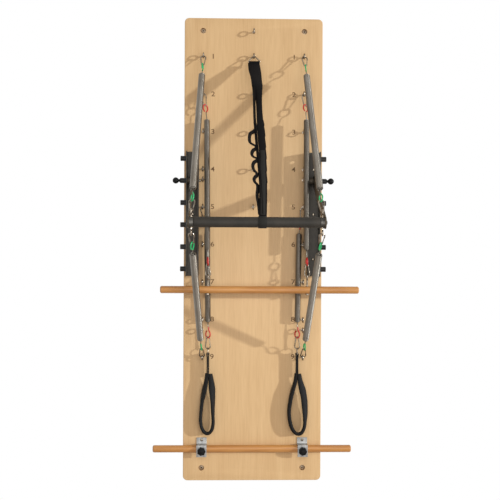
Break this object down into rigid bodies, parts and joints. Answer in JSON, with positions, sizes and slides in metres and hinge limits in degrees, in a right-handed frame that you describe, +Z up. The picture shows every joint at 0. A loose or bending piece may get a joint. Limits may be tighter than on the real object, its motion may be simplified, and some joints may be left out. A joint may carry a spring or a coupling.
{
  "type": "wall-mounted pilates springboard",
  "caption": "Wall-mounted pilates springboard: a tall ply panel of eyebolts with a spring-loaded push-through bar, roll-down bar, foot loops, safety strap and clamped foot bar.",
  "frame": {"origin": "middle of the board's back face, where it meets the wall", "axes": "+Z up along the board, +Y into the wall, +X to the right of someone facing the board"},
  "size_m": [0.883, 0.5165, 2.01],
  "materials": {
    "board_wood": "clear-coated maple ply",
    "dowel_wood": "oiled, orange brown",
    "nickel_steel": "bright nickel plate",
    "zinc_steel": "zinc plate",
    "spring_steel": "bright wire, loops sleeved green or red",
    "black_steel": "satin black powder coat",
    "black_rubber": "matt foam rubber",
    "black_plastic": "semi-gloss black",
    "black_webbing": "matt woven webbing"
  },
  "bodies": {
    "wall_panel": {"board": "board_wood", "wall_bolt_top_left": "zinc_steel", "wall_bolt_top_right": "zinc_steel", "wall_bolt_bottom_left": "zinc_steel", "wall_bolt_bottom_right": "zinc_steel", "eyebolt_left_1": "nickel_steel", "eyebolt_left_2": "nickel_steel", "eyebolt_left_5": "nickel_steel", "eyebolt_left_9": "nickel_steel", "eyebolt_right_1": "nickel_steel", "eyebolt_right_2": "nickel_steel", "eyebolt_right_5": "nickel_steel", "eyebolt_right_9": "nickel_steel", "eyebolt_centre_1": "nickel_steel", "channel_left": "black_steel", "channel_right": "black_steel", "red_spring_short_left": "spring_steel", "red_spring_short_right": "spring_steel", "red_spring_short_left_hook_board": "nickel_steel", "red_spring_short_right_hook_board": "nickel_steel", "strap_ring": "nickel_steel", "safety_strap": "black_webbing", "foot_bar_clamp_left": "zinc_steel", "foot_bar_clamp_right": "zinc_steel"},
    "push_bar": {"push_arm_left": "black_steel", "push_arm_right": "black_steel", "push_tube": "black_steel", "push_grip": "black_rubber", "push_collar_left": "black_plastic", "push_collar_right": "black_plastic"},
    "roll_down_hang": {"red_spring_long_left_hook_board": "nickel_steel", "red_spring_long_right_hook_board": "nickel_steel", "red_spring_long_left": "spring_steel", "red_spring_long_right": "spring_steel"},
    "roll_down": {"red_spring_long_left_hook_bar": "nickel_steel", "red_spring_long_right_hook_bar": "nickel_steel", "roll_down_bar": "dowel_wood", "roll_down_eye_left": "nickel_steel", "roll_down_eye_right": "nickel_steel"},
    "foot_bar": {"foot_bar": "dowel_wood"},
    "green_upper_swing": {"green_spring_upper_left_hook_board": "nickel_steel", "green_spring_upper_right_hook_board": "nickel_steel"},
    "green_upper_stretch": {"green_spring_upper_left": "spring_steel", "green_spring_upper_right": "spring_steel"},
    "green_upper_bar_hooks": {"green_spring_upper_left_hook_bar": "nickel_steel", "green_spring_upper_right_hook_bar": "nickel_steel"},
    "green_lower_swing": {"green_spring_lower_left_hook_board": "nickel_steel", "green_spring_lower_right_hook_board": "nickel_steel"},
    "green_lower_stretch": {"green_spring_lower_left": "spring_steel", "green_spring_lower_right": "spring_steel"},
    "green_lower_bar_hooks": {"green_spring_lower_left_hook_bar": "nickel_steel", "green_spring_lower_right_hook_bar": "nickel_steel"},
    "foot_hang_left": {"red_spring_short_left_hook_bar": "nickel_steel"},
    "foot_loop_left": {"foot_loop_left": "black_webbing"},
    "pull_pin_left": {"pull_pin_left": "black_plastic"},
    "clamp_knob_left": {"clamp_knob_left": "black_plastic"},
    "foot_hang_right": {"red_spring_short_right_hook_bar": "nickel_steel"},
    "foot_loop_right": {"foot_loop_right": "black_webbing"},
    "pull_pin_right": {"pull_pin_right": "black_plastic"},
    "clamp_knob_right": {"clamp_knob_right": "black_plastic"}
  },
  "joints": [
    {"name": "push_bar_swing", "type": "hinge", "parent": "wall_panel", "child": "push_bar", "pos_m": [0, -0.056, 0.2975], "axis": [-1, 0, 0], "range_deg": [-4, 25], "stiffness_Nm_per_rad": 150, "springref_deg": 4.13, "deforming": ["safety_strap"]},
    {"name": "green_upper_swing", "type": "hinge", "parent": "wall_panel", "child": "green_upper_swing", "pos_m": [0, -0.046, 0.838], "axis": [-1, 0, 0], "range_deg": [-2.5, 13]},
    {"name": "green_upper_stretch", "type": "slide", "parent": "green_upper_swing", "child": "green_upper_stretch", "axis": [0, 0.6688, 0.7435], "range_m": [-0.0238, 0.1412], "deforming": ["green_spring_upper_left", "green_spring_upper_right"]},
    {"name": "green_upper_bar_hooks", "type": "hinge", "parent": "push_bar", "child": "green_upper_bar_hooks", "pos_m": [0, -0.492, 0.152], "axis": [-1, 0, 0], "range_deg": [-13, 2.5]},
    {"name": "green_lower_swing", "type": "hinge", "parent": "wall_panel", "child": "green_lower_swing", "pos_m": [0, -0.046, -0.466], "axis": [-1, 0, 0], "range_deg": [-2.5, 13]},
    {"name": "green_lower_stretch", "type": "slide", "parent": "green_lower_swing", "child": "green_lower_stretch", "axis": [0, -0.9267, 0.3758], "range_m": [-0.0386, 0.2291], "deforming": ["green_spring_lower_left", "green_spring_lower_right"]},
    {"name": "green_lower_bar_hooks", "type": "hinge", "parent": "push_bar", "child": "green_lower_bar_hooks", "pos_m": [0, -0.492, 0.072], "axis": [-1, 0, 0], "range_deg": [-13, 2.5]},
    {"name": "roll_down_swing", "type": "hinge", "parent": "wall_panel", "child": "roll_down_hang", "pos_m": [0, -0.046, 0.675], "axis": [-1, 0, 0], "range_deg": [0, 3]},
    {"name": "roll_down_pull", "type": "slide", "parent": "roll_down_hang", "child": "roll_down", "axis": [0, -0.0581, -0.9983], "range_m": [0, 0.09], "stiffness_N_per_m": 700, "springref_m": -0.02, "deforming": ["red_spring_long_left", "red_spring_long_right"]},
    {"name": "foot_hang_left_pull", "type": "slide", "parent": "wall_panel", "child": "foot_hang_left", "axis": [0, 0, -1], "range_m": [0, 0.024], "stiffness_N_per_m": 150, "springref_m": -0.03, "deforming": ["red_spring_short_left"]},
    {"name": "foot_loop_left_swing", "type": "hinge", "parent": "foot_hang_left", "child": "foot_loop_left", "pos_m": [-0.193, -0.046, -0.428], "axis": [-1, 0, 0], "range_deg": [0, 60]},
    {"name": "pull_pin_left_slide", "type": "slide", "parent": "wall_panel", "child": "pull_pin_left", "axis": [-1, 0, 0], "range_m": [0, 0.062]},
    {"name": "clamp_knob_left_turn", "type": "hinge", "parent": "wall_panel", "child": "clamp_knob_left", "pos_m": [-0.219, -0.057, -0.869], "axis": [0, 1, 0], "range_deg": [0, 360]},
    {"name": "foot_hang_right_pull", "type": "slide", "parent": "wall_panel", "child": "foot_hang_right", "axis": [0, 0, -1], "range_m": [0, 0.024], "stiffness_N_per_m": 150, "springref_m": -0.03, "deforming": ["red_spring_short_right"]},
    {"name": "foot_loop_right_swing", "type": "hinge", "parent": "foot_hang_right", "child": "foot_loop_right", "pos_m": [0.193, -0.046, -0.428], "axis": [-1, 0, 0], "range_deg": [0, 60]},
    {"name": "pull_pin_right_slide", "type": "slide", "parent": "wall_panel", "child": "pull_pin_right", "axis": [1, 0, 0], "range_m": [0, 0.062]},
    {"name": "clamp_knob_right_turn", "type": "hinge", "parent": "wall_panel", "child": "clamp_knob_right", "pos_m": [0.219, -0.057, -0.869], "axis": [0, 1, 0], "range_deg": [0, 360]},
    {"name": "foot_bar_slide", "type": "slide", "parent": "wall_panel", "child": "foot_bar", "axis": [1, 0, 0], "range_m": [-0.04, 0.04]}
  ],
  "couplings": [
    {"joint": "green_upper_swing", "follows": "push_bar_swing", "ratio": 0.5},
    {"joint": "green_upper_stretch", "follows": "push_bar_swing", "m_per_rad": 0.31722},
    {"joint": "green_upper_bar_hooks", "follows": "push_bar_swing", "ratio": -0.5},
    {"joint": "green_lower_swing", "follows": "push_bar_swing", "ratio": 0.5},
    {"joint": "green_lower_stretch", "follows": "push_bar_swing", "m_per_rad": 0.51491},
    {"joint": "green_lower_bar_hooks", "follows": "push_bar_swing", "ratio": -0.5}
  ]
}
